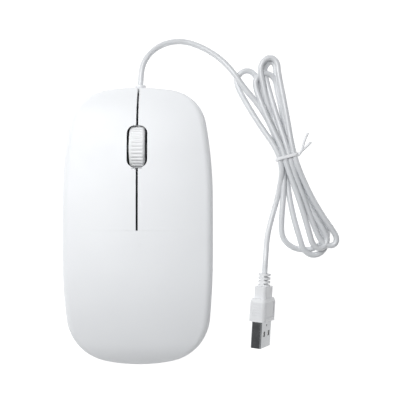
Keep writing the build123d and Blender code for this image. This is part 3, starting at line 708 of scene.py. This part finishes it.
def line_plan(start, end, steps):
    """Plan points along a line, its start left out."""
    return [Vector(start).lerp(Vector(end), step / steps) for step in range(1, steps + 1)]


def slit_plan(front):
    """Plan points up the key's inner edge: the slit, the wheel's slot, and the slit again."""
    bend_x = SLOT_HALF - SLOT_CORNER
    low_bend = (bend_x, SLOT_REAR_Y + SLOT_CORNER)
    high_bend = (bend_x, SLOT_FRONT_Y - SLOT_CORNER)
    near = [Vector((SLIT_HALF, KEY_REAR_Y))]
    near += line_plan(near[-1], (SLIT_HALF, SLOT_REAR_Y), REAR_SLIT_STEPS)
    near += line_plan(near[-1], (bend_x, SLOT_REAR_Y), SLOT_END_STEPS)
    near += arc_plan(low_bend, SLOT_CORNER, -pi / 2, 0.0, SLOT_CORNER_STEPS)
    near += line_plan(near[-1], (SLOT_HALF, high_bend[1]), SLOT_SIDE_STEPS)
    near += arc_plan(high_bend, SLOT_CORNER, 0.0, pi / 2, SLOT_CORNER_STEPS)
    near += line_plan(near[-1], (SLIT_HALF, SLOT_FRONT_Y), SLOT_END_STEPS)
    return near + line_plan(near[-1], front, FRONT_SLIT_STEPS)


def key_sheet():
    """The right key's top: from the slit and the wheel's slot out to the flank and the front."""
    front_seats = edge_seats(end_rim(FRONT_END, SLIT_HALF, FRONT_END_STEPS))
    last = seat_plan(front_seats)[::-1]
    near = slit_plan(last[0])
    rise = near[-1].y - near[0].y
    rows = [ROWS_BY_LENGTH * (point.y - near[0].y) / rise + (1 - ROWS_BY_LENGTH) * share
            for point, share in zip(near, shares_of(near))]
    outer_seats = edge_seats(side_rim(KEY_REAR_Y, FRONT_END, rows))
    far = seat_plan(outer_seats)
    first = [near[0].lerp(far[0], share) for share in shares_of(last)]
    edge = len(last) - 1
    chain = [(i, edge) for i in range(len(rows))]
    chain += [(len(rows) - 1, j) for j in range(edge - 1, -1, -1)]
    seats = outer_seats + front_seats[1:]
    return crowned_sheet(patch(near, far, first, last, rows), chain, seats, KEY_BOTTOM)


def rear_sheet():
    """The top behind the keys, from one flank to the other."""
    steps = REAR_FLANK_STEPS
    rows = [step / steps for step in range(steps + 1)]
    right = turned(side_rim(-KEY_REAR_Y, REAR_END, rows), (1.0, -1.0))
    back = turned(end_rim(REAR_END, 0.0, REAR_END_STEPS), (1.0, -1.0))
    right_seats = edge_seats(right)
    left_seats = edge_seats(turned(right, (-1.0, 1.0)))
    back_seats = edge_seats(turned(back, (-1.0, 1.0)) + back[-2::-1])
    near, far, last = seat_plan(left_seats), seat_plan(right_seats), seat_plan(back_seats)
    first = [near[0].lerp(far[0], share) for share in shares_of(last)]
    edge = len(last) - 1
    chain = [(i, 0) for i in range(steps + 1)]
    chain += [(steps, j) for j in range(1, edge + 1)]
    chain += [(i, edge) for i in range(steps - 1, -1, -1)]
    seats = left_seats + back_seats[1:-1] + right_seats[::-1]
    return crowned_sheet(patch(near, far, first, last, rows), chain, seats, COVER_BOTTOM)


def make_case_skin(materials):
    """The white top in three pieces: the rear one and the two keys, which meet it without a seam.
    """
    shell = materials["white_shell"]
    rear = thick_piece("top_skin", rear_sheet(), False, shell)
    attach(rear, "root")
    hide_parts("top_cover")
    sheet = key_sheet()
    for side, mirrored in (("left", True), ("right", False)):
        key = thick_piece(f"{side}_key_skin", sheet, mirrored, shell)
        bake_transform(key)
        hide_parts(f"{side}_button")


# ---------------------------------------------------------------- wheel
TYRE_THICK = 1.85
TYRE_SHOULDER = 1.3
RIB_COUNT = 40
RIB_HALF = 2.3
RIB_DEPTH = 0.27
RIB_STEPS = 10
RIB_FADE = 0.35
RIB_SHARPNESS = 0.6
SHOULDER_STEPS = 8


def tyre_profile():
    """Half-sections of the tyre from one bore edge over the tread to the other: x, radius."""
    bore = WHEEL_RADIUS - TYRE_THICK
    flat = WHEEL_HALF - TYRE_SHOULDER
    section = [(-WHEEL_HALF, bore)]
    for step in range(SHOULDER_STEPS + 1):
        turn = pi - step * pi / 2 / SHOULDER_STEPS
        section.append((-flat + TYRE_SHOULDER * cos(turn),
                        WHEEL_RADIUS - TYRE_SHOULDER + TYRE_SHOULDER * sin(turn)))
    section += [(x / 4, WHEEL_RADIUS) for x in range(-6, 7)]
    section += [(-x, radius) for x, radius in reversed(section[:SHOULDER_STEPS + 2])]
    return section


def rib_depth(x, turn):
    """Depth of the tread's grooves, rounded and fading out at their ends."""
    phase = (turn * RIB_COUNT / (2 * pi)) % 1.0
    groove = max(0.0, cos(2 * pi * phase)) ** RIB_SHARPNESS
    ends = min(1.0, max(0.0, (RIB_HALF - abs(x)) / RIB_FADE))
    return RIB_DEPTH * groove * ends


def make_tyre(materials):
    """Ribbed rubber tyre of the wheel."""
    section = tyre_profile()
    y0, z0 = WHEEL_CENTRE
    points, faces = [], []
    turns = RIB_COUNT * RIB_STEPS
    for step in range(turns):
        turn = 2 * pi * step / turns
        for x, radius in section:
            reach = radius - rib_depth(x, turn)
            points.append((x, y0 + reach * cos(turn), z0 + reach * sin(turn)))
    width = len(section)
    for step in range(turns):
        here, following = step * width, (step + 1) % turns * width
        for j in range(width):
            after = (j + 1) % width
            faces.append((here + j, here + after, following + after, following + j))
    tyre = mesh_piece("tyre", points, faces, materials["tyre_rubber"])
    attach(tyre, "wheel")
    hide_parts("wheel_tyre")


def make_spring_give():
    """Gives the cradle's coil spring its own copy of its mesh."""
    spring = frame["nodes"]["cradle_spring"]
    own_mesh(spring)


# ---------------------------------------------------------------- twist tie
TIE_HALF_ACROSS = 4.45
TIE_BOTTOM = 0.35
TIE_TOP = 6.85
TIE_CORNER = 1.5
TIE_THICK = 0.32
TIE_HALF_WIDTH = 0.75
TIE_CORNER_STEPS = 8
# The band's section: outwards in thicknesses, and along the bundle in half widths
TIE_SECTION = ((0.0, -1.0), (0.7, -0.85), (1.0, -0.3), (1.0, 0.3), (0.7, 0.85), (0.0, 1.0),
               (-0.6, 0.0))
TIE_TAILS = (
    ((65.4, 29.2, 4.9), (66.2, 29.8, 5.2), (66.8, 31.0, 4.9), (68.1, 31.9, 4.5),
     (69.3, 33.2, 4.8), (71.0, 34.8, 4.4)),
    ((65.6, 29.9, 3.9), (66.6, 30.2, 4.3), (67.3, 31.6, 4.9), (67.7, 33.4, 4.4),
     (68.7, 36.6, 4.0), (69.8, 38.7, 4.2)),
)
TIE_WIRE_RADIUS = 0.55


def tie_loop():
    """Points and outward ways round the bundle, across and up, with rounded corners."""
    loop = []
    high, low = TIE_TOP - TIE_CORNER, TIE_BOTTOM + TIE_CORNER
    side = TIE_HALF_ACROSS - TIE_CORNER
    corners = ((side, high, 0.0), (-side, high, pi / 2), (-side, low, pi), (side, low, 3 * pi / 2))
    for across, height, first in corners:
        for step in range(TIE_CORNER_STEPS + 1):
            turn = first + step * pi / 2 / TIE_CORNER_STEPS
            way = Vector((cos(turn), sin(turn)))
            loop.append((Vector((across, height)) + way * TIE_CORNER, way))
    return loop


def make_tie(materials):
    """Twist tie: a flat band round the bundle and its two loose ends."""
    loop = tie_loop()
    points, faces = [], []
    for place, way in loop:
        for rise, along in TIE_SECTION:
            reach = place + way * rise * TIE_THICK
            points.append(tie_point(reach.x, reach.y, along * TIE_HALF_WIDTH))
    width = len(TIE_SECTION)
    for i in range(len(loop)):
        here, following = i * width, (i + 1) % len(loop) * width
        for j in range(width):
            after = (j + 1) % width
            faces.append((here + j, following + j, following + after, here + after))
    band = mesh_piece("tie_band", points, faces, materials["tie_white"])
    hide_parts("twist_tie")
    ends = [nurbs_curve(f"tie_end_{index}", tail, TIE_WIRE_RADIUS)
            for index, tail in enumerate(TIE_TAILS, 1)]
    for end in ends:
        end.data.materials.append(materials["tie_white"])
    for piece in [band] + ends:
        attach(piece, "root")
    return [band] + ends


# ---------------------------------------------------------------- build
make_camera()
make_floor()
make_light()
MATERIALS = make_materials()
dress_frame(MATERIALS)
make_case_skin(MATERIALS)
make_tyre(MATERIALS)
make_spring_give()
tie_pieces = make_tie(MATERIALS)
make_cord(MATERIALS)
